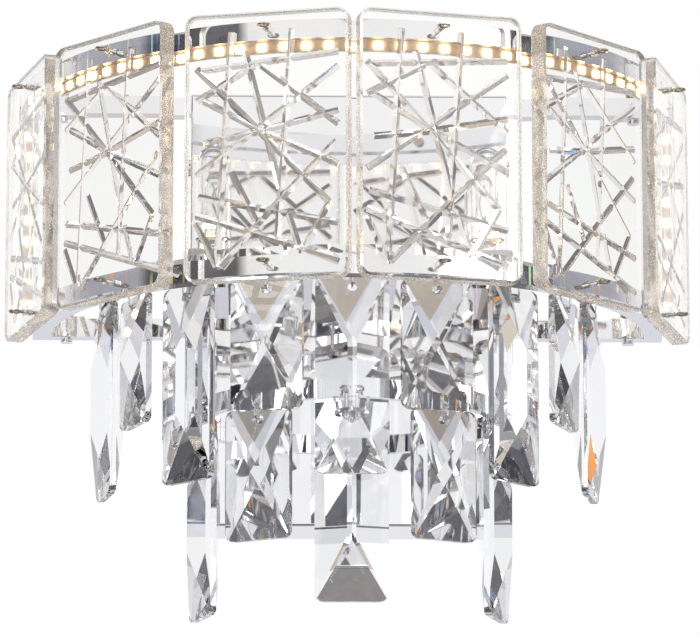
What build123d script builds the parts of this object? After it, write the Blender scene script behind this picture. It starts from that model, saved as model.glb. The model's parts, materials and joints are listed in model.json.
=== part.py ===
from build123d import *
import os
from math import acos, cos, degrees, floor, pi, radians, sin

os.makedirs("parts", exist_ok=True)

# Millimetres. +X is to the right of someone facing the light, +Y goes into the wall, +Z is up.
# The origin is the middle of the wall bracket's slots, on the wall plane y = 0.

# ---- Driving dimensions --------------------------------------------------------------------------

seat_gap = 0.3            # between pieces that rest close to each other
slide_gap = 0.2           # round a bar or a shank that passes through sheet metal
fit_gap = 0.05            # radial, round a screw in its own hole
drill_past = 1.0          # of a cutter past the metal it goes through

# Crystal panels: angle from straight ahead, and the small turn of each pair
panel_places = ((14.5, 0.0), (45.0, 3.0), (74.0, 0.0))
panel_share = 0.507       # of the hoop's radius, for the panel's width
panel_height = 114.0
panel_thickness = 8.0
panel_corner = 5.0
panel_bevel = 0.8
panel_top = 56.0
groove_width = 3.0        # at the panel's back
groove_depth = 1.4
pin_inset = 7.0           # from the panel's top and bottom edges to its pin holes
panel_hole_radius = 1.5

# Straight cuts of the web, on the back of every panel: (across, up) at each end, from its centre,
# drawn on a sheet of this width and height and stretched with the panel
web_width = 70.0
web_height = 114.0
web_lines = (
    ((-29, 34), (30, 39)), ((-16, 50), (-22, -50)), ((10, 50), (4, -39)), ((-31, 35), (-5, 8)),
    ((-5, 8), (26, -25)), ((-31, 21), (-6, 35)), ((30, 33), (-6, 7)), ((-6, 7), (-31, -11)),
    ((-3, 35), (30, 8)), ((-10, 41), (5, -18)), ((-28, 21), (-5, 8)), ((-5, 8), (30, -9)),
    ((-28, 3), (-7, 6)), ((-7, 6), (30, 14)), ((-30, -20), (30, -34)), ((-31, -28), (30, -49)),
    ((-31, -31), (-22, -50)), ((-21, -50), (4, -24)), ((4, -24), (29, 1)), ((8, -27), (13, -43)),
    ((26, -25), (15, -45)), ((-16, -10), (-5, -32)),
)

# Chrome hoops: square tube bent to a half circle, closed by a straight bar at the wall
hoop_radius = 138.0       # outer radius of the half circle
hoop_size = 8.0           # tube, across and up
hoop_wall = 1.0
wall_gap = 0.5            # between the bars and the wall

# End posts and their knurled nuts
post_foot_reach = 15.0
post_foot_thickness = 1.0
nut_inset = 15.0          # from the hoop's outer radius
nut_radius = 3.2
nut_height = 4.6
knurl_pitch = 1.25
knurl_width = 0.5
knurl_depth = 0.4
knurl_share = 0.6         # of the nut's height
post_screw_radius = 1.5
post_screw_head = 2.0
screw_head_share = 1.8    # head radius over shank radius
screw_bite = 3.0          # of a screw past what it holds

# LED band, tape and chips
band_height = 5.0
band_thickness = 1.2
band_inset = 3.8          # from the hoop's outer face to the band's outer face
tape_width = 4.6
tape_thickness = 0.4
tape_end_gap = 1.0
led_pitch = 9.5
led_width = 3.5
led_height = 2.8
led_depth = 0.9

# Eye pins that hold the panels
pin_radius = 0.7
eye_radius = 2.4
eye_wire_radius = 0.5
pin_nut_radius = 2.2
pin_nut_height = 2.0
pin_tail = 1.0            # past its nut
pin_stand = 1.0           # from the panel's front to the eye

# Upper pendant ring, which stands on the bottom hoop's bar by a foot at each end, and its spokes
ring_inset = 31.5         # from the hoop's outer radius to the ring's middle line
ring_thickness = 4.0
upper_ring_height = 7.0
upper_ring_foot = 2.5
spoke_x = 18.0
spoke_size = 4.0

# Lower pendant ring, in front of the wall box
tier_step = 42.0          # from the upper ring's radius to the lower ring's
lower_ring_height = 8.0
lower_ring_top = -92.0
ring_foot_width = 10.0
ring_foot_thickness = 1.5

# Pendants: bars with a ridge down the middle that slopes to each end
pendant_share = 0.291     # of the upper ring's radius, for the pendant's width
long_length = 84.0
short_length = 56.0
pendant_middle = 14.5     # thickness at the ridge
pendant_edge = 2.6        # thickness at the girdle
pendant_corner = 4.0
pendant_hole_radius = 2.0
pendant_hole_inset = 5.0
pendant_play = 0.95       # from the link's low bar up to the crystal that hangs on it
end_clearance = 2.0       # from the last pendant of a ring to the bar or the box behind it

# Each hanger but the last has its angle from straight ahead. All have the way the crystal faces, its
# size and the drop from the ring's lower edge to the crystal
upper_hangers = ((0.0, 0.0, "long", 5.5), (19.5, 15.0, "short", 5.5), (40.0, 49.0, "long", 4.8),
                 (59.0, 68.0, "short", 4.0))
upper_last = (78.0, "long", 1.0)
lower_hangers = ((0.0, 0.0, "long", 2.0), (37.0, 30.0, "short", 2.0))
lower_last = (73.0, "long", 2.0)
link_wire_radius = 0.5
link_half_width = 3.4
link_corner = 1.8
ring_hole_radius = 1.6
ring_hole_rise = 3.0      # from the ring's lower edge to the hole for the link

# Wall box, chassis and wall bracket
box_width = 136.0
box_height = 190.0
box_depth = 35.0
box_top = 47.0
box_sheet = 1.0
box_round = 1.0
chassis_thickness = 2.0
chassis_bottom = -135.0
chassis_tab_depth = 14.0
chassis_tab_height = 20.0
chassis_tab_z = (18.0, -112.0)
ledge_width = 18.0
ledge_inset = 21.7        # from the chassis's side to the ledge's middle
low_screw_x = 20.0        # of the screws in the bottom bar
access_radius = 5.0       # of the holes in front of the wall screws
box_screw_length = 6.0
bracket_width = 110.0
bracket_height = 24.0
bracket_thickness = 2.0
bracket_corner = 4.0
slot_spacing = 70.0
slot_length = 12.0
slot_radius = 2.5
stud_x = 22.0
stud_radius = 2.0
stud_tail = 2.0           # past its nut
spacer_radius = 4.0
hex_nut_radius = 3.6
hex_nut_height = 3.0
screw_radius = 2.0
screw_head_radius = 3.6
screw_head_height = 2.0
screw_head_round = 1.2

# Lamps
lamp_inset = 10.0         # from the box's side to the lamp's axis
lamp_setback = 78.0       # from the hoop's outer radius to the lamp's axis, straight ahead
arm_width = 12.0
arm_thickness = 1.5
arm_top = -44.0
arm_foot_height = 16.0
arm_screw_inset = 4.0
holder_width = 22.0
holder_depth = 14.0
holder_height = 15.0
holder_corner = 3.0
holder_recess = 2.0       # depth of the seat for the bulb's flat foot
socket_floor = 3.0        # below the bulb's legs
bulb_radius = 7.5
bulb_wall = 1.0
bulb_height = 48.0
bulb_foot_height = 7.0
bulb_foot_width = 12.0
bulb_foot_depth = 5.0
bulb_neck_start = 4.0
bulb_leg_spacing = 9.0
bulb_leg_radius = 0.6
bulb_leg_length = 7.0     # below the glass
filament_height = 13.0    # of its coil, above the glass foot's lower edge
filament_radius = 1.0

# Driver, terminals and leads: sizes are across, out from the wall, and up
driver_size = (84.0, 17.0, 34.0)
driver_corner = 2.0
driver_z = -92.0
terminal_size = (34.0, 13.0, 16.0)
terminal_z = -22.0
terminal_mouth_radius = 1.6
terminal_mouth_depth = 5.0
terminal_well_radius = 2.2
earth_z = 12.0
earth_washer_radius = 4.5
earth_head_radius = 3.4
earth_head_height = 2.4
earth_slot_width = 0.8
lead_radius = 0.8
lead_bend = 5.0
lead_reach = 4.0          # of a lead's end into its terminal
lead_hole_radius = 1.4
lamp_lead_rise = 5.0      # above the arm
led_lead_inset = 5.7      # from the chassis's side
led_lead_notch = 11.0     # depth of the notch in the chassis's top edge


# ---- Worked-out values and shared shapes ---------------------------------------------------------

axis_y = -wall_gap
bar_front = axis_y - hoop_size
bar_middle_y = axis_y - hoop_size / 2
hoop_half = hoop_size / 2
top_hoop_z = panel_top - pin_inset
bottom_hoop_z = panel_top - panel_height + pin_inset
panel_back = hoop_radius + seat_gap
panel_width = hoop_radius * panel_share
pin_tail_radius = hoop_radius - hoop_size - pin_nut_height - pin_tail
nut_x = hoop_radius - nut_inset
box_front = -box_depth
upper_ring_radius = hoop_radius - ring_inset
lower_ring_radius = upper_ring_radius - tier_step
upper_ring_bottom = bottom_hoop_z + hoop_half + upper_ring_foot
upper_ring_top = upper_ring_bottom + upper_ring_height
lower_ring_bottom = lower_ring_top - lower_ring_height
pendant_width = upper_ring_radius * pendant_share
pendant_hip = short_length / 2
bar_rise = pendant_hole_radius - pendant_play - link_wire_radius
chassis_front = bar_front - chassis_thickness
chassis_half = box_width / 2 - box_sheet - seat_gap
ledge_x = chassis_half - ledge_inset
led_lead_x = chassis_half - led_lead_inset
stud_length = -chassis_front + hex_nut_height + stud_tail
lamp_x = box_width / 2 - lamp_inset
lamp_reach = hoop_radius - lamp_setback
arm_bottom = arm_top - arm_thickness
under_top_bar = top_hoop_z - hoop_half
lamp_lead_z = arm_top + lamp_lead_rise


def block(x0, x1, y0, y1, z0, z1):
    """A plain box between two corners."""
    size = (x1 - x0, y1 - y0, z1 - z0)
    middle = ((x0 + x1) / 2, (y0 + y1) / 2, (z0 + z1) / 2)
    return Pos(*middle) * Box(*size)


def rod(start, direction, radius, length):
    """A round rod from a point along a direction."""
    return Solid.make_cylinder(radius, length, Plane(origin=start, z_dir=direction))


def half_disc(radius, y_middle, y_limit, z0, z1):
    """The part of a disc in front of a plane y = y_limit."""
    disc = Pos(0, y_middle, (z0 + z1) / 2) * Cylinder(radius, z1 - z0)
    keep = block(-2 * radius, 2 * radius, y_middle - 2 * radius, y_limit, z0, z1)
    return disc & keep


def half_ring(outer, inner, y_middle, y_limit, z0, z1):
    """A half ring of rectangular section, open towards the wall."""
    return half_disc(outer, y_middle, y_limit, z0, z1) - half_disc(inner, y_middle, y_limit, z0, z1)


def outward(angle):
    """Unit vector away from the half circle's middle, at an angle from straight ahead."""
    return Vector(sin(radians(angle)), -cos(radians(angle)), 0)


def standing(angle, radius, y_middle, z):
    """Plane of a piece on a half circle: x along it, y up, z towards its middle."""
    away = outward(angle)
    point = Vector(0, y_middle, z) + away * radius
    return Plane(origin=point, x_dir=(cos(radians(angle)), sin(radians(angle)), 0), z_dir=away)


def last_angle(radius, facing, behind):
    """Angle at which the last crystal of a ring stands clear of what is behind the ring's middle."""
    return degrees(acos((pendant_width / 2 * sin(radians(facing)) + behind + end_clearance) / radius))


def mirrored(places):
    """Places on both sides, from left to right, with the middle one once."""
    left = [(-place[0], -place[1], *place[2:]) for place in reversed(places) if place[0] > 0]
    return left + list(places)


def write(shape, name):
    """Write one sub-part."""
    export_step(shape, f"parts/{name}.step")


def group(shapes):
    """Several like solids in one sub-part."""
    solids = [solid for shape in shapes for solid in shape.solids()]
    return Compound(children=solids)


# ---- Wall bracket, studs, spacers and nuts -------------------------------------------------------

def slot_cut(x):
    """A slot for a wall screw, through the bracket."""
    half = slot_length / 2 - slot_radius
    cut = block(x - half, x + half, -bracket_thickness, 0, -slot_radius, slot_radius)
    for end in (-half, half):
        cut += rod((x + end, 0, 0), (0, -1, 0), slot_radius, bracket_thickness)
    return cut


def wall_bracket():
    """Strap with a slot for each wall screw and a hole for each stud."""
    strap = block(-bracket_width / 2, bracket_width / 2, -bracket_thickness, 0,
                  -bracket_height / 2, bracket_height / 2)
    strap = fillet(strap.edges().filter_by(Axis.Y), bracket_corner)
    for x in (-slot_spacing / 2, slot_spacing / 2):
        strap -= slot_cut(x)
    for x in (-stud_x, stud_x):
        strap -= rod((x, 0, 0), (0, -1, 0), stud_radius + fit_gap, bracket_thickness)
    return strap


def bracket_stud(x):
    """A screw pressed into the bracket, pointing away from the wall."""
    return rod((x, -seat_gap, 0), (0, -1, 0), stud_radius, stud_length)


def hex_nut(x, y, z):
    """A hexagon nut that sits on the chassis."""
    body = Pos(x, y - hex_nut_height / 2, z) * Rot(90, 0, 0) * extrude(
        RegularPolygon(hex_nut_radius, 6), hex_nut_height / 2, both=True)
    return body - rod((x, y, z), (0, -1, 0), stud_radius + fit_gap, hex_nut_height)


def spacer(x):
    """A sleeve between the bracket and the chassis."""
    length = -bar_front - bracket_thickness
    sleeve = rod((x, -bracket_thickness, 0), (0, -1, 0), spacer_radius, length)
    return sleeve - rod((x, -bracket_thickness, 0), (0, -1, 0), stud_radius + fit_gap, length)


# ---- Hoops and end posts -------------------------------------------------------------------------

def hoop(z, screw_cuts):
    """Square tube bent to a D, with the holes for its screws and eye pins."""
    z0 = z - hoop_half
    z1 = z + hoop_half
    tube = half_disc(hoop_radius, axis_y, axis_y, z0, z1)
    tube -= half_disc(hoop_radius - hoop_size, axis_y, bar_front, z0, z1)
    inside = half_disc(hoop_radius - hoop_wall, axis_y, axis_y - hoop_wall, z0 + hoop_wall, z1 - hoop_wall)
    inside -= half_disc(hoop_radius - hoop_size + hoop_wall, axis_y, bar_front + hoop_wall,
                        z0 + hoop_wall, z1 - hoop_wall)
    tube -= inside
    for angle, _ in mirrored(panel_places):
        plane = standing(angle, hoop_radius + drill_past, axis_y, z)
        tube -= rod(plane.origin, -plane.z_dir, pin_radius + slide_gap, hoop_size + 2 * drill_past)
    for cut in screw_cuts:
        tube -= cut
    return tube


def vertical_hole(x, z, radius):
    """A hole up through a straight bar."""
    return rod((x, bar_middle_y, z - hoop_size), (0, 0, 1), radius, hoop_size * 2)


post_bottom = bottom_hoop_z + hoop_half
post_top = top_hoop_z - hoop_half


def end_post(side):
    """Square bar between the hoops, with a foot on each hoop's straight bar."""
    x_out = side * hoop_radius
    x_in = side * (hoop_radius - hoop_size)
    x_foot = side * (hoop_radius - hoop_size - post_foot_reach)
    post = block(min(x_in, x_out), max(x_in, x_out), bar_front, axis_y, post_bottom, post_top)
    for z0 in (post_bottom, post_top - post_foot_thickness):
        foot = block(min(x_in, x_foot), max(x_in, x_foot), bar_front, axis_y, z0, z0 + post_foot_thickness)
        post += foot - vertical_hole(side * nut_x, z0, post_screw_radius + fit_gap)
    return post & half_disc(hoop_radius, axis_y, axis_y, post_bottom, post_top)


def post_screw(side, head_z, shank_length):
    """Screw with its head below a bar or a foot, and its shank up through both."""
    start = (side * nut_x, bar_middle_y, head_z)
    head = rod(start, (0, 0, 1), screw_head_share * post_screw_radius, post_screw_head)
    shank = rod(start, (0, 0, 1), post_screw_radius, post_screw_head + shank_length)
    return head + shank


def knurled_nut(side, z):
    """Ball nut with a knurled middle."""
    middle = (side * nut_x, bar_middle_y, z + nut_height / 2)
    ball = Pos(*middle) * Sphere(nut_radius)
    ball &= Pos(*middle) * Cylinder(nut_radius * 2, nut_height)
    count = floor(2 * pi * nut_radius / knurl_pitch)
    for index in range(count):
        angle = 360 * index / count
        away = outward(angle) * nut_radius
        groove = Pos(middle[0] + away.X, middle[1] + away.Y, middle[2]) * Rot(0, 0, angle)
        ball -= groove * Box(knurl_width, knurl_depth, nut_height * knurl_share)
    return ball - rod((middle[0], middle[1], z), (0, 0, 1), post_screw_radius + fit_gap, nut_height)


# ---- LED band, tapes and chips -------------------------------------------------------------------

band_radius = hoop_radius - band_inset
band_top = top_hoop_z - hoop_half
band_end_y = bar_front - slide_gap
tape_middle_z = band_top - band_height / 2


def led_band():
    """Strip under the top hoop that carries the curved tape."""
    return half_ring(band_radius, band_radius - band_thickness, axis_y, band_end_y,
                     band_top - band_height, band_top)


def curved_tape():
    """Flexible LED tape on the outside of the band."""
    return half_ring(band_radius + tape_thickness, band_radius, axis_y, band_end_y,
                     tape_middle_z - tape_width / 2, tape_middle_z + tape_width / 2)


def chip(plane):
    """One LED on a tape, standing on the given plane."""
    return plane * Pos(0, 0, led_depth / 2) * Box(led_width, led_height, led_depth)


def curved_chips():
    """LEDs at an even pitch along the curved tape."""
    radius = band_radius + tape_thickness
    step = degrees(led_pitch / radius)
    half = floor((90 - 2 * step) / step)
    return [chip(standing(index * step, radius, axis_y, tape_middle_z)) for index in range(-half, half + 1)]


tape_front = bar_front - tape_thickness
post_middle_x = hoop_radius - hoop_half
tape_low = post_bottom + post_foot_thickness
tape_high = post_top - band_height - tape_end_gap


def post_tape(side):
    """Straight LED tape on the front of an end post."""
    x = side * post_middle_x
    return block(x - tape_width / 2, x + tape_width / 2, tape_front, bar_front, tape_low, tape_high)


def post_chips(side):
    """LEDs at an even pitch up a straight tape."""
    count = floor((tape_high - tape_low - led_width) / led_pitch)
    first = (tape_low + tape_high) / 2 - count * led_pitch / 2
    x = side * post_middle_x
    chips = []
    for index in range(count + 1):
        z = first + index * led_pitch
        half_x = led_height / 2
        half_z = led_width / 2
        front = tape_front - led_depth
        chips.append(block(x - half_x, x + half_x, front, tape_front, z - half_z, z + half_z))
    return chips


# ---- Crystal panels and their pins ---------------------------------------------------------------

def groove(start, end):
    """Cutter for a straight V groove in a panel's back, the plane z = 0. It starts as far outside."""
    run = Vector(end[0] - start[0], end[1] - start[1], 0)
    across = run.normalized().cross(Vector(0, 0, 1)) * groove_width
    origin = Vector(start[0], start[1], 0)
    deep = Vector(0, 0, groove_depth)
    points = [origin + across - deep, origin - across - deep, origin + deep]
    return Solid.extrude(Face(Wire.make_polygon(points, close=True)), run)


def plain_panel():
    """Rounded glass plate, back face on z = 0, front face at its thickness, with pin holes."""
    plate = extrude(RectangleRounded(panel_width, panel_height, panel_corner), panel_thickness)
    plate = chamfer(plate.edges().group_by(Axis.Z)[0] + plate.edges().group_by(Axis.Z)[-1], panel_bevel)
    across = panel_width / web_width
    up = panel_height / web_height
    for start, end in web_lines:
        plate -= groove((start[0] * across, start[1] * up), (end[0] * across, end[1] * up))
    for height in (panel_height / 2 - pin_inset, pin_inset - panel_height / 2):
        plate -= Pos(0, height, panel_thickness / 2) * Cylinder(panel_hole_radius, panel_thickness * 2)
    return plate


panel_middle_z = panel_top - panel_height / 2


def panel_plane(angle, turn):
    """Plane of a panel's back face."""
    origin = standing(angle, panel_back, axis_y, panel_middle_z).origin
    facing = angle + turn
    return Plane(origin=origin, x_dir=(cos(radians(facing)), sin(radians(facing)), 0), z_dir=outward(facing))


def eye_pin(angle, z):
    """Wire pin with a flat eye in front of the panel and its shank through the hoop."""
    face_radius = panel_back + panel_thickness
    away = outward(angle)
    tail = standing(angle, pin_tail_radius, axis_y, z).origin
    shank_length = face_radius + pin_stand - pin_tail_radius
    shank = rod(tail, away, pin_radius, shank_length)
    eye_middle = tail + away * (shank_length + eye_radius)
    eye = Pos(*eye_middle) * Torus(eye_radius, eye_wire_radius)
    return shank + eye


def pin_nut(angle, z):
    """Small round nut on a pin's tail, against the hoop's inner face."""
    plane = standing(angle, hoop_radius - hoop_size - seat_gap, axis_y, z)
    nut = rod(plane.origin, -plane.z_dir, pin_nut_radius, pin_nut_height)
    return nut - rod(plane.origin, -plane.z_dir, pin_radius + fit_gap, pin_nut_height)


# ---- Pendant rings -------------------------------------------------------------------------------

def link_hole(angle, radius, y_middle, z):
    """Hole through a pendant ring for a link."""
    half = ring_thickness
    plane = standing(angle, radius + half, y_middle, z)
    return rod(plane.origin, -plane.z_dir, ring_hole_radius, half * 2)


def with_last(hangers, last, radius, behind):
    """A ring's hangers, with the angle of the last one worked out."""
    return hangers + ((last_angle(radius, last[0], behind), *last),)


upper_places = with_last(upper_hangers, upper_last, upper_ring_radius, hoop_half)
lower_places = with_last(lower_hangers, lower_last, lower_ring_radius, 0)


def upper_ring():
    """Half ring with a foot at each end, which stands on the bottom hoop's straight bar."""
    half = ring_thickness / 2
    inner = upper_ring_radius - half
    outer = upper_ring_radius + half
    ring = half_ring(outer, inner, bar_middle_y, bar_middle_y, upper_ring_bottom, upper_ring_top)
    bar_top = bottom_hoop_z + hoop_half
    feet = half_ring(outer, inner, bar_middle_y, bar_middle_y, bar_top, upper_ring_bottom)
    ring += feet & block(-outer, outer, bar_front, bar_middle_y, bar_top, upper_ring_bottom)
    for angle, *_ in mirrored(upper_places):
        ring -= link_hole(angle, upper_ring_radius, bar_middle_y, upper_ring_bottom + ring_hole_rise)
    return ring


def spoke(side):
    """Straight bar from the wall box to the upper ring."""
    x = side * spoke_x
    half = spoke_size / 2
    low = upper_ring_top - spoke_size
    bar = block(x - half, x + half, -2 * upper_ring_radius, box_front, low, upper_ring_top)
    inner = upper_ring_radius - ring_thickness / 2
    return bar & half_disc(inner, bar_middle_y, box_front, low, upper_ring_top)


ring_foot_x = lower_ring_radius - ring_thickness / 2 - ring_foot_width / 2
ring_foot_z = (lower_ring_bottom + lower_ring_top) / 2


def lower_ring():
    """Smaller half ring with a foot at each end, on the front of the wall box."""
    half = ring_thickness / 2
    ring = half_ring(lower_ring_radius + half, lower_ring_radius - half, box_front, box_front,
                     lower_ring_bottom, lower_ring_top)
    for side in (-1, 1):
        x = side * ring_foot_x
        reach = ring_foot_width / 2 + half
        ring += block(x - reach, x + reach, box_front - ring_foot_thickness, box_front,
                      lower_ring_bottom, lower_ring_top)
        ring -= rod((x, box_front + drill_past, ring_foot_z), (0, -1, 0), post_screw_radius + fit_gap,
                    ring_foot_thickness + 2 * drill_past)
    for angle, *_ in mirrored(lower_places):
        ring -= link_hole(angle, lower_ring_radius, box_front, lower_ring_bottom + ring_hole_rise)
    return ring


def face_screw(x, y, z, grip):
    """Screw from the front, with its head at y and its shank going back through the grip."""
    head = rod((x, y, z), (0, -1, 0), screw_head_share * post_screw_radius, post_screw_head)
    return head + rod((x, y, z), (0, 1, 0), post_screw_radius, grip + screw_bite)


# ---- Pendants and links --------------------------------------------------------------------------

def pendant(length):
    """Faceted crystal bar, the same back and front, with its link's low bar at the origin."""
    half_width = pendant_width / 2
    half_length = length / 2
    edge = pendant_edge / 2
    top = pendant_middle / 2
    ridge = half_length - pendant_hip
    tips = sorted({-ridge, ridge})
    section = [(-half_width, -edge), (0, -top), (half_width, -edge),
               (half_width, edge), (0, top), (-half_width, edge)]
    profile = [(-half_length, -edge), *((tip, -top) for tip in tips), (half_length, -edge),
               (half_length, edge), *((tip, top) for tip in reversed(tips)), (-half_length, edge)]
    crystal = extrude(Plane.XZ * Polygon(*section, align=None), half_length, both=True)
    crystal &= extrude(Plane.YZ * Polygon(*profile, align=None), half_width, both=True)
    crystal &= extrude(RectangleRounded(pendant_width, length, pendant_corner), top, both=True)
    hole_height = half_length - pendant_hole_inset
    crystal -= Pos(0, hole_height, 0) * Cylinder(pendant_hole_radius, pendant_middle)
    return Pos(0, -hole_height - bar_rise, 0) * crystal


def hanger_plane(angle, facing, drop, radius, y_middle, ring_bottom):
    """Plane at the middle of the link's low bar, facing the way the crystal does."""
    z = ring_bottom - drop - pendant_hole_inset + bar_rise
    origin = standing(angle, radius, y_middle, z).origin
    return Plane(origin=origin, x_dir=(cos(radians(facing)), sin(radians(facing)), 0), z_dir=outward(facing))


def link(drop):
    """Closed wire link in the plane x = 0, from its low bar up through the pendant ring's hole."""
    hole_rise = drop + pendant_hole_inset + ring_hole_rise - bar_rise
    high = hole_rise - (ring_hole_radius - link_wire_radius - seat_gap)
    half = link_half_width
    points = [(0, 0, half), (0, high, half), (0, high, -half), (0, 0, -half)]
    path = FilletPolyline(*points, radius=link_corner, close=True)
    section = Plane(origin=path @ 0, z_dir=path % 0) * Circle(link_wire_radius)
    return sweep(section, path=path)


# ---- Wall box, chassis and their screws ----------------------------------------------------------

def wall_box():
    """Folded chrome box, open at the wall, with a rebate for the top bar and slots for the bottom bar."""
    half = box_width / 2
    low = box_top - box_height
    shell = block(-half, half, box_front, -wall_gap, low, box_top)
    shell = fillet(shell.edges().filter_by(Axis.Y) + shell.faces().sort_by(Axis.Y)[0].edges(), box_round)
    shell -= block(box_sheet - half, half - box_sheet, box_front + box_sheet, 0,
                   low + box_sheet, box_top - box_sheet)
    slot_front = bar_front - slide_gap
    shell -= block(-half, half, slot_front, 0, under_top_bar - slide_gap, box_top)
    shell -= block(-half, half, slot_front, 0, bottom_hoop_z - hoop_half - slide_gap,
                   bottom_hoop_z + hoop_half + slide_gap)
    for side in (-1, 1):
        for z in chassis_tab_z:
            shell -= rod((side * half, chassis_screw_y, z), (-side, 0, 0), screw_radius + slide_gap,
                         box_sheet * 2)
        for x, z, radius in ((lamp_x, arm_screw_z, post_screw_radius + fit_gap),
                             (lamp_x, lamp_lead_z, lead_hole_radius),
                             (ring_foot_x, ring_foot_z, post_screw_radius + fit_gap)):
            shell -= rod((side * x, box_front, z), (0, 1, 0), radius, box_sheet * 2)
    return shell


chassis_screw_y = chassis_front - chassis_tab_depth / 2
arm_screw_z = arm_top + arm_foot_height - arm_screw_inset


def chassis():
    """Steel plate in front of the bars, with tabs for the box and ledges under the top bar."""
    plate = block(-chassis_half, chassis_half, chassis_front, bar_front, chassis_bottom, under_top_bar)
    half_tab = chassis_tab_height / 2
    half_ledge = ledge_width / 2
    screw_hole = post_screw_radius + fit_gap
    for side in (-1, 1):
        outer = side * chassis_half
        inner = side * (chassis_half - chassis_thickness)
        for z in chassis_tab_z:
            plate += block(min(inner, outer), max(inner, outer), chassis_front - chassis_tab_depth,
                           chassis_front, z - half_tab, z + half_tab)
            plate -= rod((outer, chassis_screw_y, z), (-side, 0, 0), screw_radius + fit_gap,
                         chassis_thickness)
        x = side * ledge_x
        plate += block(x - half_ledge, x + half_ledge, bar_front, axis_y - seat_gap,
                       under_top_bar - chassis_thickness, under_top_bar)
        plate -= vertical_hole(x, under_top_bar, screw_hole)
        notch_x = side * led_lead_x
        notch_half = lead_hole_radius * 2
        plate -= block(notch_x - notch_half, notch_x + notch_half, chassis_front, bar_front,
                       under_top_bar - led_lead_notch, under_top_bar)
        plate -= rod((side * low_screw_x, bar_front, bottom_hoop_z), (0, -1, 0), screw_hole,
                     chassis_thickness)
        plate -= rod((side * stud_x, bar_front, 0), (0, -1, 0), stud_radius + fit_gap, chassis_thickness)
        plate -= rod((side * slot_spacing / 2, bar_front, 0), (0, -1, 0), access_radius, chassis_thickness)
    return plate


def box_screw(side, z):
    """Pan-head screw through the side of the box into a chassis tab."""
    outer = side * box_width / 2
    head = rod((outer, chassis_screw_y, z), (side, 0, 0), screw_head_radius, screw_head_height)
    head = fillet(head.edges().sort_by(Axis.X)[-1 if side > 0 else 0], screw_head_round)
    return head + rod((outer, chassis_screw_y, z), (-side, 0, 0), screw_radius, box_screw_length)


def bar_screws():
    """Screws that hold the two straight bars to the chassis."""
    screws = []
    for side in (-1, 1):
        x = side * ledge_x
        ledge_under = under_top_bar - chassis_thickness
        head = rod((x, bar_middle_y, ledge_under), (0, 0, -1), screw_head_share * post_screw_radius,
                   post_screw_head)
        shank = rod((x, bar_middle_y, ledge_under), (0, 0, 1), post_screw_radius,
                    chassis_thickness + screw_bite)
        screws.append(head + shank)
        screws.append(face_screw(side * low_screw_x, chassis_front, bottom_hoop_z, chassis_thickness))
    return screws


# ---- Lamps ---------------------------------------------------------------------------------------

def lamp_arm(side):
    """Folded strip: a foot on the box and a shelf for the holder."""
    x = side * lamp_x
    half = arm_width / 2
    end = -lamp_reach - holder_depth / 2
    shelf = block(x - half, x + half, end, box_front, arm_bottom, arm_top)
    foot = block(x - half, x + half, box_front - arm_thickness, box_front, arm_top, arm_top + arm_foot_height)
    foot -= rod((x, box_front, arm_screw_z), (0, -1, 0), post_screw_radius + fit_gap, arm_thickness)
    foot -= rod((x, box_front, lamp_lead_z), (0, -1, 0), lead_hole_radius, arm_thickness)
    return shelf + foot


bulb_low = arm_top + holder_height - holder_recess + seat_gap


def lamp_holder(side):
    """Ceramic holder with two leg sockets and a seat for the bulb's flat foot."""
    body = extrude(RectangleRounded(holder_width, holder_depth, holder_corner), holder_height)
    body = chamfer(body.edges().group_by(Axis.Z)[-1], holder_corner / 4)
    body -= Pos(0, 0, holder_height - holder_recess / 2) * Box(
        bulb_foot_width + 2 * seat_gap, bulb_foot_depth + 2 * seat_gap, holder_recess)
    depth = bulb_leg_length + socket_floor
    for leg in (-0.5, 0.5):
        body -= Pos(leg * bulb_leg_spacing, 0, holder_height - depth / 2) * Cylinder(
            bulb_leg_radius + slide_gap, depth)
    return Pos(side * lamp_x, -lamp_reach, arm_top) * body


def bulb_glass(side):
    """Glass capsule: a flat pressed foot round the legs, a neck and a domed tube with its bore."""
    low = (Align.CENTER, Align.CENTER, Align.MIN)
    dome_z = bulb_height - bulb_radius
    bore_radius = bulb_radius - bulb_wall
    tube_length = dome_z - bulb_foot_height
    neck_length = bulb_foot_height - bulb_neck_start
    glass = Box(bulb_foot_width, bulb_foot_depth, bulb_foot_height, align=low)
    glass += Pos(0, 0, bulb_neck_start) * Cone(bulb_foot_depth / 2, bulb_radius, neck_length, align=low)
    glass += Pos(0, 0, bulb_foot_height) * Cylinder(bulb_radius, tube_length, align=low)
    glass += Pos(0, 0, dome_z) * Sphere(bulb_radius)
    glass -= Pos(0, 0, bulb_foot_height) * Cylinder(bore_radius, tube_length, align=low)
    glass -= Pos(0, 0, dome_z) * Sphere(bore_radius)
    for leg in (-0.5, 0.5):
        glass -= Pos(leg * bulb_leg_spacing, 0, 0) * Cylinder(
            bulb_leg_radius + fit_gap, bulb_foot_height, align=low)
    return Pos(side * lamp_x, -lamp_reach, bulb_low) * glass


def bulb_filament(side):
    """Two legs that pass up through the glass foot, joined by the filament's coil."""
    x = side * lamp_x
    coil_z = bulb_low + filament_height
    legs = []
    for leg in (-0.5, 0.5):
        start = (x + leg * bulb_leg_spacing, -lamp_reach, bulb_low - bulb_leg_length)
        legs.append(rod(start, (0, 0, 1), bulb_leg_radius, bulb_leg_length + filament_height))
    coil = rod((x - bulb_leg_spacing / 2, -lamp_reach, coil_z), (1, 0, 0), filament_radius, bulb_leg_spacing)
    return coil + legs[0] + legs[1]


# ---- Driver, terminals and leads -----------------------------------------------------------------

def on_chassis(size, z):
    """Box of a size across, out and up, standing on the chassis's front."""
    width, depth, height = size
    return block(-width / 2, width / 2, chassis_front - depth, chassis_front, z - height / 2, z + height / 2)


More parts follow.
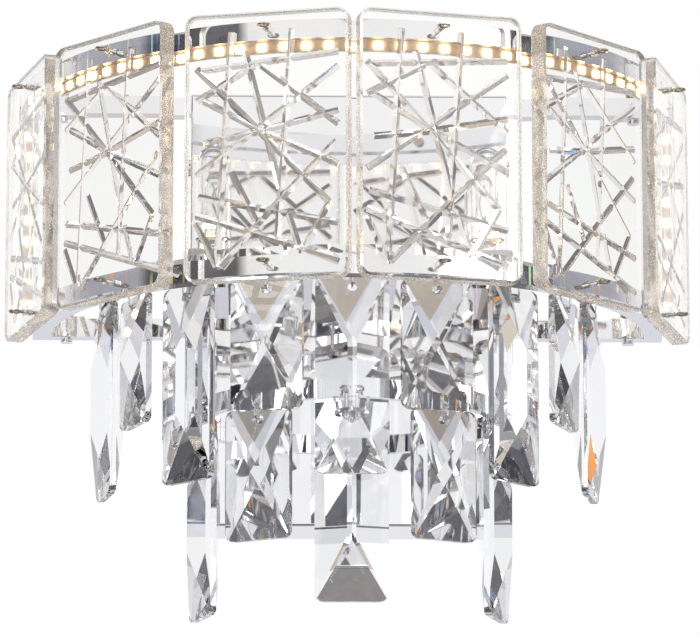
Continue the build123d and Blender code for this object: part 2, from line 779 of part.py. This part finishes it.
def led_driver():
    """Moulded driver case."""
    return fillet(on_chassis(driver_size, driver_z).edges().filter_by(Axis.Y), driver_corner)


lead_y = chassis_front - terminal_size[1] / 2
terminal_low = terminal_z - terminal_size[2] / 2
terminal_high = terminal_z + terminal_size[2] / 2
terminal_pitch = terminal_size[0] / 3
driver_high = driver_z + driver_size[2] / 2


def terminal_block():
    """Three-way screw terminal with its wire mouths and screw wells."""
    body = on_chassis(terminal_size, terminal_z)
    for index in (-1, 0, 1):
        x = index * terminal_pitch
        front = chassis_front - terminal_size[1]
        body -= rod((x, front, terminal_z), (0, 1, 0), terminal_well_radius, terminal_size[1] / 2)
        body -= rod((x, lead_y, terminal_low), (0, 0, 1), terminal_mouth_radius, terminal_mouth_depth)
        body -= rod((x, lead_y, terminal_high), (0, 0, -1), terminal_mouth_radius, terminal_mouth_depth)
    return body


def earth_terminal():
    """Brass screw with its washer on the chassis, and the slot across its head."""
    washer = rod((0, chassis_front, earth_z), (0, -1, 0), earth_washer_radius, chassis_thickness / 2)
    head_y = chassis_front - chassis_thickness / 2
    head = rod((0, head_y, earth_z), (0, -1, 0), earth_head_radius, earth_head_height)
    slot_half = earth_slot_width / 2
    slot = block(-earth_head_radius, earth_head_radius, head_y - earth_head_height,
                 head_y - earth_head_height / 2, earth_z - slot_half, earth_z + slot_half)
    return washer + head - slot


def lead(points):
    """A round lead along straight runs joined by arcs."""
    path = FilletPolyline(*points, radius=lead_bend)
    section = Plane(origin=path @ 0, z_dir=path % 0) * Circle(lead_radius)
    return sweep(section, path=path)


def driver_leads(side):
    """A mains lead from the terminal block to the driver, and a lamp lead from it to the top bar."""
    x = side * terminal_pitch
    x_driver = side * (terminal_pitch + 2 * lead_bend)
    z_turn = (terminal_low + driver_high) / 2
    mains = lead([(x, lead_y, terminal_low + lead_reach), (x, lead_y, z_turn + lead_bend),
                  (x_driver, lead_y, z_turn - lead_bend), (x_driver, lead_y, driver_high)])
    x_out = side * (driver_size[0] / 2 - driver_corner - lead_bend)
    z_out = driver_high + 2 * lead_bend
    x_up = side * led_lead_x
    z_back = under_top_bar - led_lead_notch / 2
    strip = lead([(x_out, lead_y, driver_high), (x_out, lead_y, z_out), (x_up, lead_y, z_out),
                  (x_up, lead_y, z_back), (x_up, bar_middle_y, z_back),
                  (x_up, bar_middle_y, under_top_bar + hoop_wall + lead_radius)])
    return [mains, strip]


def lamp_lead(side):
    """Twin lead from the terminal block down inside the box and out to the lamp's holder."""
    x = side * terminal_pitch
    x_lamp = side * lamp_x
    z_run = terminal_high + 2 * lead_bend
    holder_back = -lamp_reach + holder_depth / 2
    return lead([(x, lead_y, terminal_high - lead_reach), (x, lead_y, z_run), (x_lamp, lead_y, z_run),
                 (x_lamp, lead_y, lamp_lead_z), (x_lamp, holder_back, lamp_lead_z)])


# ---- Write every sub-part ------------------------------------------------------------------------

write(wall_bracket(), "wall_bracket")
write(group([bracket_stud(x) for x in (-stud_x, stud_x)]), "bracket_studs")
write(group([spacer(x) for x in (-stud_x, stud_x)]), "chassis_spacers")
write(group([hex_nut(x, chassis_front, 0) for x in (-stud_x, stud_x)]), "chassis_nuts")
write(chassis(), "chassis_plate")
write(wall_box(), "wall_box")
write(group([box_screw(side, z) for side in (-1, 1) for z in chassis_tab_z]), "wall_box_screws")
write(group(bar_screws()), "hoop_bar_screws")

screw_hole_radius = post_screw_radius + fit_gap
top_holes = [vertical_hole(side * nut_x, top_hoop_z, screw_hole_radius) for side in (-1, 1)]
for side in (-1, 1):
    top_holes.append(rod((side * ledge_x, bar_middle_y, under_top_bar), (0, 0, 1), screw_hole_radius,
                         screw_bite))
    top_holes.append(rod((side * led_lead_x, bar_middle_y, under_top_bar), (0, 0, 1), lead_hole_radius,
                         hoop_wall))
bottom_holes = [vertical_hole(side * nut_x, bottom_hoop_z, screw_hole_radius) for side in (-1, 1)]
for side in (-1, 1):
    bottom_holes.append(rod((side * low_screw_x, bar_front, bottom_hoop_z), (0, 1, 0), screw_hole_radius,
                            screw_bite))
write(hoop(top_hoop_z, top_holes), "top_hoop")
write(hoop(bottom_hoop_z, bottom_holes), "bottom_hoop")
write(end_post(-1), "left_end_post")
write(end_post(1), "right_end_post")

top_head_z = post_top - post_foot_thickness - post_screw_head
top_grip = post_foot_thickness + hoop_size + nut_height
bottom_head_z = bottom_hoop_z - hoop_half - post_screw_head
write(group([post_screw(side, z, top_grip) for side in (-1, 1) for z in (top_head_z, bottom_head_z)]),
      "end_post_screws")
nut_levels = (top_hoop_z + hoop_half, post_bottom + post_foot_thickness)
write(group([knurled_nut(side, z) for side in (-1, 1) for z in nut_levels]), "knurled_nuts")

write(led_band(), "led_band")
write(curved_tape(), "hoop_led_tape")
write(group(curved_chips()), "hoop_led_chips")
write(group([post_tape(side) for side in (-1, 1)]), "post_led_tapes")
write(group(post_chips(-1) + post_chips(1)), "post_led_chips")

blank = plain_panel()
for number, (angle, turn) in enumerate(mirrored(panel_places), start=1):
    write(panel_plane(angle, turn) * blank, f"crystal_panel_{number}")
pin_places = [(angle, z) for angle, _ in mirrored(panel_places) for z in (top_hoop_z, bottom_hoop_z)]
write(group([eye_pin(angle, z) for angle, z in pin_places]), "panel_eye_pins")
write(group([pin_nut(angle, z) for angle, z in pin_places]), "panel_pin_nuts")

write(upper_ring(), "upper_pendant_ring")
write(group([spoke(side) for side in (-1, 1)]), "ring_spokes")
write(lower_ring(), "lower_pendant_ring")
write(group([face_screw(side * ring_foot_x, box_front - ring_foot_thickness, ring_foot_z, ring_foot_thickness)
             for side in (-1, 1)]), "lower_ring_screws")

crystals = {"long": pendant(long_length), "short": pendant(short_length)}
tiers = (("upper", upper_places, upper_ring_radius, bar_middle_y, upper_ring_bottom),
         ("lower", lower_places, lower_ring_radius, box_front, lower_ring_bottom))
for tier, hangers, radius, y_middle, ring_bottom in tiers:
    links = []
    for number, (angle, facing, size, drop) in enumerate(mirrored(hangers), start=1):
        plane = hanger_plane(angle, facing, drop, radius, y_middle, ring_bottom)
        write(plane * crystals[size], f"{tier}_pendant_{number}")
        links.append(plane * link(drop))
    write(group(links), f"{tier}_pendant_links")

for side, name in ((-1, "left"), (1, "right")):
    write(lamp_holder(side), f"{name}_lamp_holder")
    write(bulb_glass(side), f"{name}_bulb_glass")
    write(bulb_filament(side), f"{name}_bulb_filament")
write(group([lamp_arm(side) for side in (-1, 1)]), "lamp_arms")
write(group([face_screw(side * lamp_x, box_front - arm_thickness, arm_screw_z, arm_thickness)
             for side in (-1, 1)]), "lamp_arm_screws")

write(led_driver(), "led_driver")
write(terminal_block(), "terminal_block")
write(earth_terminal(), "earth_terminal")
write(group(driver_leads(-1) + driver_leads(1)), "driver_leads")
write(group([lamp_lead(side) for side in (-1, 1)]), "lamp_leads")
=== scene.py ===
import json
import math

import bpy
from mathutils import Euler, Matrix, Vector

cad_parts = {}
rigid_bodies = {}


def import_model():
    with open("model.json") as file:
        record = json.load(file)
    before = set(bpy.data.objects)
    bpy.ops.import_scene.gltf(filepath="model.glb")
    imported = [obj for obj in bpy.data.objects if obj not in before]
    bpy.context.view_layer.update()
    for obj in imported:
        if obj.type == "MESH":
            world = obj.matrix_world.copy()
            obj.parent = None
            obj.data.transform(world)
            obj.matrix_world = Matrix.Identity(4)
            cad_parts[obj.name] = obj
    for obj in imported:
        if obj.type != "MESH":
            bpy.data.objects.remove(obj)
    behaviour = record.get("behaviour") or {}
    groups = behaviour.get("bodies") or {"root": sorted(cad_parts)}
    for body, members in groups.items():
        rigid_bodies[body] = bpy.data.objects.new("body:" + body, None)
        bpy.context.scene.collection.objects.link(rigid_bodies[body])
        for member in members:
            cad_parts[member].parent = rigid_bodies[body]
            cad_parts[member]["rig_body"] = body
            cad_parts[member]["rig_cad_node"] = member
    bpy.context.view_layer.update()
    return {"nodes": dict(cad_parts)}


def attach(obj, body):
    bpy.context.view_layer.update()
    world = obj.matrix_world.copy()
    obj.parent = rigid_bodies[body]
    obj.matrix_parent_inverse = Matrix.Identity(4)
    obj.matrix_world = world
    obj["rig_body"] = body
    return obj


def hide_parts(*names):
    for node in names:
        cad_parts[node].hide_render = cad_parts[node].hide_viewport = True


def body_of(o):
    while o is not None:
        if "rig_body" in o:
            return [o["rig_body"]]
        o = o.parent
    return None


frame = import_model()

# --- Wall bracket -------------------------------------------------------------------------------
# A pressed steel strap, zinc plated, that screws to the wall and carries the whole sconce.
# Its two slots take the wall screws.


class Wire:
    """A socket of a shader node, with the arithmetic that adds Math nodes."""

    def __init__(self, finish, socket):
        self.finish = finish
        self.socket = socket

    def maths(self, operation, *values):
        return self.finish.node("ShaderNodeMath", {"operation": operation}, dict(enumerate(values)))

    def __add__(self, other):
        return self.maths("ADD", self, other)

    __radd__ = __add__

    def __mul__(self, other):
        return self.maths("MULTIPLY", self, other)

    def __rsub__(self, other):
        return self.maths("SUBTRACT", other, self)

    def __truediv__(self, other):
        return self.maths("DIVIDE", self, other)

    def __gt__(self, other):
        return self.maths("GREATER_THAN", self, other)

    def __lt__(self, other):
        return self.maths("LESS_THAN", self, other)


class Finish:
    """A material that is built node by node."""

    def __init__(self, name, tree=None):
        if tree is None:
            self.material = bpy.data.materials.new(name)
            self.material.use_nodes = True
            tree = self.material.node_tree
            tree.nodes.clear()
        self.tree = tree

    def node(self, kind, settings=None, inputs=None, output=0):
        """Adds a node: its settings first, then the values or links of its sockets."""
        node = self.tree.nodes.new(kind)
        for name, value in (settings or {}).items():
            if name == "stops":
                self.set_stops(node.color_ramp, value)
            else:
                setattr(node, name, value)
        for name, value in (inputs or {}).items():
            if isinstance(value, Wire):
                self.tree.links.new(value.socket, node.inputs[name])
            else:
                node.inputs[name].default_value = value
        return Wire(self, node.outputs[output]) if node.outputs else None

    def set_stops(self, ramp, stops):
        while len(ramp.elements) < len(stops):
            ramp.elements.new(1.0)
        for element, (place, colour) in zip(ramp.elements, stops):
            element.position = place
            element.color = (*colour, 1.0)

    def place(self):
        return self.node("ShaderNodeTexCoord", output="Object")

    def noise(self, scale, detail=3.0, roughness=0.5, at=None):
        inputs = {"Vector": at or self.place(), "Scale": scale, "Detail": detail, "Roughness": roughness}
        return self.node("ShaderNodeTexNoise", {}, inputs)

    def ramp(self, factor, stops):
        return self.node("ShaderNodeValToRGB", {"stops": stops}, {0: factor})

    def mix(self, factor, first, second):
        settings = {"data_type": "RGBA"}
        return self.node("ShaderNodeMix", settings, {0: factor, 6: first, 7: second}, output=2)

    def spread(self, factor, low, high):
        """Maps a factor around 0.5 to a value between low and high."""
        settings = {"clamp": True}
        inputs = {"Value": factor, "From Min": 0.3, "From Max": 0.7, "To Min": low, "To Max": high}
        return self.node("ShaderNodeMapRange", settings, inputs)

    def bump(self, height, strength, distance):
        inputs = {"Height": height, "Strength": strength, "Distance": distance}
        return self.node("ShaderNodeBump", {}, inputs)

    def surface(self, **sockets):
        """Ends the material in one principled shader."""
        names = {"colour": "Base Color", "metal": "Metallic", "rough": "Roughness", "normal": "Normal",
                 "clear": "Transmission Weight", "ior": "IOR", "coat": "Coat Weight",
                 "glow": "Emission Color", "glow_strength": "Emission Strength"}
        inputs = {names[key]: value for key, value in sockets.items()}
        shader = self.node("ShaderNodeBsdfPrincipled", {}, inputs)
        self.node("ShaderNodeOutputMaterial", {}, {"Surface": shader})
        return self.material


def dress(nodes, material):
    """Gives a carried-over solid its finish."""
    for node in nodes:
        for slot in frame["nodes"][node].material_slots:
            slot.material = material


def zinc_plate():
    finish = Finish("zinc_plate")
    spangle = finish.noise(260.0, 4.0, 0.6)
    cloud = finish.noise(45.0, 2.0)
    colour = finish.ramp(cloud, [(0.3, (0.52, 0.53, 0.54)), (0.7, (0.66, 0.67, 0.68))])
    rough = finish.spread(spangle, 0.26, 0.44)
    normal = finish.bump(spangle, 0.15, 0.0002)
    return finish.surface(colour=colour, metal=1.0, rough=rough, normal=normal)


ZINC = zinc_plate()
dress(["wall_bracket"], ZINC)

# --- Studs, spacers and nuts --------------------------------------------------------------------
# Two studs stand on the bracket, and a spacer and a hex nut on each hold the chassis off the wall.
# All are turned or formed steel with a bright zinc plate.

dress(["bracket_studs", "chassis_spacers", "chassis_nuts"], ZINC)

# --- Chassis plate ------------------------------------------------------------------------------
# A flat plate of brushed steel behind the wall box, drilled for the bars, the driver and terminals.


def brushed_steel():
    finish = Finish("brushed_steel")
    stretched = finish.node("ShaderNodeMapping", {}, {"Vector": finish.place(), "Scale": (8.0, 8.0, 700.0)})
    grain = finish.noise(1.0, 3.0, 0.6, at=stretched)
    colour = finish.ramp(grain, [(0.3, (0.60, 0.61, 0.62)), (0.7, (0.72, 0.72, 0.73))])
    return finish.surface(colour=colour, metal=1.0, rough=finish.spread(grain, 0.22, 0.36),
                          normal=finish.bump(grain, 0.1, 0.0001))


dress(["chassis_plate"], brushed_steel())

# --- Wall box -----------------------------------------------------------------------------------
# A folded box of mirror-chromed sheet steel that hides the driver and the wiring. Four screws in
# its sides hold it on the chassis plate.


def chrome():
    finish = Finish("chrome")
    film = finish.noise(30.0, 2.0)
    smudge = finish.noise(220.0, 4.0, 0.6)
    colour = finish.ramp(film, [(0.3, (0.86, 0.86, 0.88)), (0.7, (0.91, 0.91, 0.92))])
    rough = finish.spread(smudge, 0.015, 0.05)
    normal = finish.bump(film, 0.05, 0.0004)
    return finish.surface(colour=colour, metal=1.0, rough=rough, normal=normal)


CHROME = chrome()
dress(["wall_box", "wall_box_screws"], CHROME)

# --- Hoops and end posts ------------------------------------------------------------------------
# Two half circles of square steel tube, each closed by a straight bar at the wall, with a post
# between them at each end. They are welded up, polished and chromed.

dress(["top_hoop", "bottom_hoop", "left_end_post", "right_end_post"], CHROME)
dress(["hoop_bar_screws", "end_post_screws"], CHROME)

# --- Knurled nuts -------------------------------------------------------------------------------
# Four turned brass nuts with a knurled rim clamp the bars to the end posts.


def brass():
    finish = Finish("brass")
    tarnish = finish.noise(150.0, 4.0, 0.6)
    colour = finish.ramp(tarnish, [(0.3, (0.62, 0.47, 0.25)), (0.7, (0.80, 0.66, 0.40))])
    return finish.surface(colour=colour, metal=1.0, rough=finish.spread(tarnish, 0.16, 0.3),
                          normal=finish.bump(tarnish, 0.1, 0.0001))


BRASS = brass()
dress(["knurled_nuts"], BRASS)

# --- LED band and tapes -------------------------------------------------------------------------
# A chromed strip hangs under the top hoop and carries a flexible LED tape on its outer face. Two
# more tapes run down the end posts. The tape is tan film with copper pads between the LEDs.


LED_GLOW = 9.0


def led_tape():
    finish = Finish("led_tape")
    grain = finish.noise(400.0, 3.0)
    film = finish.noise(60.0, 2.0)
    colour = finish.ramp(film, [(0.3, (0.62, 0.43, 0.27)), (0.7, (0.80, 0.62, 0.44))])
    return finish.surface(colour=colour, rough=finish.spread(grain, 0.3, 0.5), coat=0.3,
                          normal=finish.bump(grain, 0.2, 0.0002))


def led_chip():
    finish = Finish("led_chip")
    phosphor = finish.noise(500.0, 2.0)
    colour = finish.ramp(phosphor, [(0.3, (1.0, 0.78, 0.44)), (0.7, (1.0, 0.88, 0.62))])
    return finish.surface(colour=colour, rough=0.5, glow=colour, glow_strength=LED_GLOW)


dress(["led_band"], CHROME)
dress(["hoop_led_tape", "post_led_tapes"], led_tape())
dress(["hoop_led_chips", "post_led_chips"], led_chip())

# --- Crystal panels -----------------------------------------------------------------------------
# Six thick panels of clear cut glass stand round the hoops. Straight V grooves are cut in the back
# of each, and its edges are ground. The ground edges and grooves get a warm tint and a faint painted
# glow, which stand in for LED light caught in the glass.

PANEL_IOR = 1.52
GROUND_CLEAR_SHARE = 0.95
MERGE_DISTANCE = 0.000002
SMOOTH_ANGLE = math.radians(25.0)
FLAT_FACE_SHARE = 0.95
BORDER = 0.0012
CORNER = 0.005
EDGE_SLOT = 1
GROOVE_SLOT = 2


def clear_glass(name, ior, tint_low, tint_high):
    finish = Finish(name)
    melt = finish.noise(40.0, 2.0)
    polish = finish.noise(300.0, 3.0)
    colour = finish.ramp(melt, [(0.3, tint_low), (0.7, tint_high)])
    rough = finish.spread(polish, 0.0, 0.01)
    return finish.surface(colour=colour, clear=1.0, ior=ior, rough=rough)


def ground_glass(name, low, high, rough_low, rough_high, painted_glow_strength):
    """Glass with a ground or cut surface, warm-tinted and given a faint painted glow (emission) that stands
    in for LED light caught in the glass.
    """
    finish = Finish(name)
    cloud = finish.noise(120.0, 3.0, 0.6)
    grit = finish.noise(900.0, 3.0)
    colour = finish.ramp(cloud, [(0.3, low), (0.7, high)])
    rough = finish.spread(grit, rough_low, rough_high)
    return finish.surface(colour=colour, clear=GROUND_CLEAR_SHARE, ior=PANEL_IOR, rough=rough,
                          glow=colour, glow_strength=painted_glow_strength)


def copied(node, name):
    """A copy of a carried-over solid, joined up, that can take more than one finish."""
    bpy.ops.object.select_all(action="DESELECT")
    solid = frame["nodes"][node]
    solid.select_set(True)
    bpy.context.view_layer.objects.active = solid
    bpy.ops.object.duplicate()
    piece = bpy.context.object
    piece.name = name
    del piece["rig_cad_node"]
    bpy.ops.mesh.customdata_custom_splitnormals_clear()
    bpy.ops.object.mode_set(mode="EDIT")
    bpy.ops.mesh.select_all(action="SELECT")
    bpy.ops.mesh.remove_doubles(threshold=MERGE_DISTANCE)
    bpy.ops.object.mode_set(mode="OBJECT")
    bpy.ops.object.shade_smooth_by_angle(angle=SMOOTH_ANGLE)
    piece.data.materials.clear()
    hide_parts(node)
    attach(piece, body_of(solid)[0])
    return piece


PANEL_GLASS = clear_glass("panel_glass", PANEL_IOR, (0.975, 0.97, 0.955), (0.995, 0.992, 0.985))
# The ground edges and cut grooves take a warm tint and a faint painted glow, standing in for the LED light
# caught in the panels.
GROUND_EDGE = ground_glass("ground_edge", (0.90, 0.82, 0.72), (0.97, 0.92, 0.85), 0.2, 0.34, 0.06)
CUT_GROOVE = ground_glass("cut_groove", (0.92, 0.84, 0.74), (0.99, 0.97, 0.94), 0.0, 0.06, 0.05)
for number in range(1, 7):
    panel = copied(f"crystal_panel_{number}", f"glass_panel_{number}")
    for material in (PANEL_GLASS, GROUND_EDGE, CUT_GROOVE):
        panel.data.materials.append(material)
    outward = max(panel.data.polygons, key=lambda face: face.area).normal.copy()
    along = Vector((-outward.y, outward.x, 0.0))
    places = [(corner.co.dot(along), corner.co.z) for corner in panel.data.vertices]
    middle = [(min(values) + max(values)) / 2 for values in zip(*places)]
    reach = [(max(values) - min(values)) / 2 for values in zip(*places)]
    for face in panel.data.polygons:
        if abs(face.normal.dot(outward)) > FLAT_FACE_SHARE:
            continue
        spot = (face.center.dot(along), face.center.z)
        off = [half - abs(value - centre) for half, value, centre in zip(reach, spot, middle)]
        at_edge = min(off) < BORDER or max(off) < CORNER
        face.material_index = EDGE_SLOT if at_edge else GROOVE_SLOT

# --- Panel eye pins -----------------------------------------------------------------------------
# A pin of gilt wire with a round eye passes through each of the two holes of a panel and through
# the hoop behind, and a small nut holds it there.


def pin_wire():
    finish = Finish("pin_wire")
    wear = finish.noise(350.0, 3.0)
    colour = finish.ramp(wear, [(0.3, (0.46, 0.40, 0.32)), (0.7, (0.66, 0.60, 0.50))])
    return finish.surface(colour=colour, metal=1.0, rough=finish.spread(wear, 0.1, 0.25))


dress(["panel_eye_pins", "panel_pin_nuts"], pin_wire())

# --- Pendant rings ------------------------------------------------------------------------------
# Two chromed half rings of flat bar, a large one under the bottom hoop and a small one in front of
# the wall box. The pendants hang from wire links through their edges.

dress(["upper_pendant_ring", "ring_spokes", "lower_pendant_ring", "lower_ring_screws"], CHROME)
dress(["upper_pendant_links", "lower_pendant_links"], CHROME)

# --- Pendants -----------------------------------------------------------------------------------
# Fourteen long and short bars of cut crystal, each ground on both faces to a ridge that ends in
# hips, and drilled at the top for its link.

CRYSTAL_IOR = 1.58
pendants = [f"upper_pendant_{number}" for number in range(1, 10)]
pendants += [f"lower_pendant_{number}" for number in range(1, 6)]
dress(pendants, clear_glass("cut_crystal", CRYSTAL_IOR, (0.96, 0.965, 0.975), (0.99, 0.99, 0.995)))

# --- Lamps --------------------------------------------------------------------------------------
# Two capsule lamps stand in ceramic holders, on chromed arms that reach forward from the wall box.
# Each has a clear glass capsule with a coiled filament on wire legs.

LAMP_GLASS_IOR = 1.47
FILAMENT_GLOW = 90.0

def ceramic():
    finish = Finish("ceramic")
    grain = finish.noise(500.0, 4.0)
    colour = finish.ramp(grain, [(0.3, (0.80, 0.78, 0.74)), (0.7, (0.90, 0.89, 0.86))])
    return finish.surface(colour=colour, rough=finish.spread(grain, 0.35, 0.5),
                          normal=finish.bump(grain, 0.15, 0.0002))


def filament():
    finish = Finish("filament")
    heat = finish.noise(600.0, 2.0)
    colour = finish.ramp(heat, [(0.3, (1.0, 0.62, 0.26)), (0.7, (1.0, 0.78, 0.45))])
    return finish.surface(colour=colour, rough=0.5, glow=colour, glow_strength=FILAMENT_GLOW)


dress(["lamp_arms", "lamp_arm_screws"], CHROME)
dress(["left_lamp_holder", "right_lamp_holder"], ceramic())
lamp_glass = clear_glass("lamp_glass", LAMP_GLASS_IOR, (0.98, 0.975, 0.96), (0.995, 0.99, 0.98))
dress(["left_bulb_glass", "right_bulb_glass"], lamp_glass)
dress(["left_bulb_filament", "right_bulb_filament"], filament())

# --- Driver, terminals and leads ----------------------------------------------------------------
# The LED driver, a terminal block and the earth terminal sit in the wall box, wired with thin
# PVC-sheathed leads.


def moulded(name, low, high, rough_low, rough_high):
    finish = Finish(name)
    grain = finish.noise(350.0, 4.0)
    colour = finish.ramp(finish.noise(50.0, 2.0), [(0.3, low), (0.7, high)])
    return finish.surface(colour=colour, rough=finish.spread(grain, rough_low, rough_high),
                          normal=finish.bump(grain, 0.2, 0.0003))


dress(["led_driver"], moulded("driver_case", (0.72, 0.72, 0.70), (0.80, 0.80, 0.78), 0.4, 0.55))
dress(["terminal_block"], moulded("terminal_plastic", (0.75, 0.73, 0.68), (0.84, 0.82, 0.77), 0.3, 0.45))
dress(["earth_terminal"], BRASS)
jacket = moulded("lead_jacket", (0.62, 0.60, 0.57), (0.74, 0.72, 0.69), 0.3, 0.42)
dress(["driver_leads", "lamp_leads"], jacket)

# --- Studio -------------------------------------------------------------------------------------
# A small pale floor far below and a white surround with two soft lamps. For the chrome and the
# crystals it also has dark flags, a warm tone below and small coloured spots, which the long lens
# below the sconce doesn't see.

WHITE = (1.0, 1.0, 1.0)
BLACK = (0.0, 0.0, 0.0)
FLAG = (0.03, 0.03, 0.035)
SIDE_GREY = (0.42, 0.42, 0.47)
SOFT_LEVEL = 0.7
SPARK_SCALE = 38.0
SPARK_LEVEL = 0.71
HUE_SCALE = 14.0
SIDE_SHARE = 0.6
FLOOR_SIZE = 1.2
FLOOR_HEIGHT = -1.6
GLASS_BOUNCES = 24
CAMERA_PLACE = (-0.0417, -2.2, -0.5134)
CAMERA_PITCH = 0.21
CAMERA_YAW = -0.0195
CAMERA_LENS = 263.2
SENSOR_WIDTH = 36.0

bpy.ops.object.select_all(action="DESELECT")
bpy.ops.mesh.primitive_plane_add(size=FLOOR_SIZE, location=(0.0, 0.0, FLOOR_HEIGHT))
floor = bpy.context.object
floor.name = "floor"


def pale_floor():
    finish = Finish("pale_floor")
    grain = finish.noise(3.0, 2.0)
    colour = finish.ramp(grain, [(0.3, (0.84, 0.84, 0.85)), (0.7, (0.88, 0.88, 0.89))])
    diffuse = finish.node("ShaderNodeBsdfDiffuse", {}, {"Color": colour})
    white = finish.node("ShaderNodeEmission", {}, {"Color": (*WHITE, 1.0), "Strength": 1.0})
    seen = finish.node("ShaderNodeLightPath", output="Is Camera Ray")
    surface = finish.node("ShaderNodeMixShader", {}, {0: seen, 1: diffuse, 2: white})
    finish.node("ShaderNodeOutputMaterial", {}, {"Surface": surface})
    return finish.material


floor.data.materials.append(pale_floor())

world = bpy.data.worlds.new("studio")
bpy.context.scene.world = world
world.use_nodes = True
world.node_tree.nodes.clear()
sky = Finish("studio", world.node_tree)
way = sky.node("ShaderNodeTexCoord", output="Generated")
across = sky.node("ShaderNodeSeparateXYZ", {}, {0: way}, output="X")
inward = sky.node("ShaderNodeSeparateXYZ", {}, {0: way}, output="Y")
height = sky.node("ShaderNodeSeparateXYZ", {}, {0: way}, output="Z")
turn = sky.node("ShaderNodeMath", {"operation": "ARCTAN2"}, {0: across, 1: 0.0 - inward})
round_share = sky.node("ShaderNodeMath", {"operation": "ABSOLUTE"}, {0: turn}) / math.pi
walls = sky.ramp(round_share, [(0.0, WHITE), (0.20, WHITE), (0.225, FLAG), (0.41, FLAG),
                               (0.44, SIDE_GREY), (0.60, SIDE_GREY), (0.68, WHITE), (1.0, WHITE)])
high = sky.ramp(height, [(0.33, BLACK), (0.40, WHITE)])
over = sky.ramp(height, [(0.38, (0.16, 0.16, 0.18)), (0.58, FLAG), (0.72, (0.40, 0.40, 0.43)),
                         (0.9, (0.85, 0.85, 0.88))])
depth = height * -1.0
low = sky.ramp(depth, [(0.12, BLACK), (0.20, WHITE)])
under = sky.ramp(depth, [(0.22, (0.74, 0.74, 0.80)), (0.30, (0.62, 0.54, 0.44)),
                         (0.42, (0.26, 0.25, 0.25)), (0.7, FLAG), (1.0, (0.25, 0.25, 0.28))])
studio = sky.mix(low, sky.mix(high, walls, over), under)
camera_ray = sky.node("ShaderNodeLightPath", output="Is Camera Ray")
glossy_ray = sky.node("ShaderNodeLightPath", output="Is Glossy Ray")
clear_ray = sky.node("ShaderNodeLightPath", output="Is Transmission Ray")
picture_ray = glossy_ray + clear_ray
level = SOFT_LEVEL + (picture_ray > 0.5) * (1.0 - SOFT_LEVEL)
spark = sky.noise(SPARK_SCALE, 0.0, at=way)
rainbow = [(0.35, (1.0, 0.35, 0.05)), (0.45, (1.0, 0.8, 0.3)),
           (0.5, (0.5, 1.0, 0.5)), (0.58, (0.2, 0.4, 1.0))]
hue = sky.ramp(sky.noise(HUE_SCALE, 0.0, at=way), rainbow)
fire = (spark > SPARK_LEVEL) * clear_ray * (inward < SIDE_SHARE) * (inward > -SIDE_SHARE)
studio = sky.mix(fire, studio, hue)
soft = sky.node("ShaderNodeBackground", {}, {"Color": studio, "Strength": level})
white = sky.node("ShaderNodeBackground", {}, {"Color": (*WHITE, 1.0), "Strength": 1.0})
shown = sky.node("ShaderNodeMixShader", {}, {0: camera_ray, 1: soft, 2: white})
sky.node("ShaderNodeOutputWorld", {}, {"Surface": shown})


def soft_lamp(name, place, watts, size):
    bpy.ops.object.light_add(type="AREA", location=place)
    lamp = bpy.context.object
    lamp.name = name
    lamp.rotation_euler = Vector(place).to_track_quat("Z", "Y").to_euler()
    lamp.data.shape = "DISK"
    lamp.data.size = size
    lamp.data.energy = watts


soft_lamp("key_lamp", (-1.4, -1.8, 1.2), 12.0, 1.0)
soft_lamp("fill_lamp", (1.6, -1.6, 0.3), 8.0, 1.2)

camera_data = bpy.data.cameras.new("camera")
camera = bpy.data.objects.new("camera", camera_data)
bpy.context.collection.objects.link(camera)
bpy.context.scene.camera = camera
camera.location = CAMERA_PLACE
camera.rotation_euler = Euler((math.radians(90.0) + CAMERA_PITCH, 0.0, CAMERA_YAW))
camera_data.sensor_width = SENSOR_WIDTH
camera_data.lens = CAMERA_LENS

scene = bpy.context.scene
scene.view_settings.view_transform = "Standard"
scene.cycles.use_denoising = True
scene.cycles.max_bounces = GLASS_BOUNCES
scene.cycles.transmission_bounces = GLASS_BOUNCES
scene.cycles.glossy_bounces = 12
scene.cycles.sample_clamp_indirect = 4.0
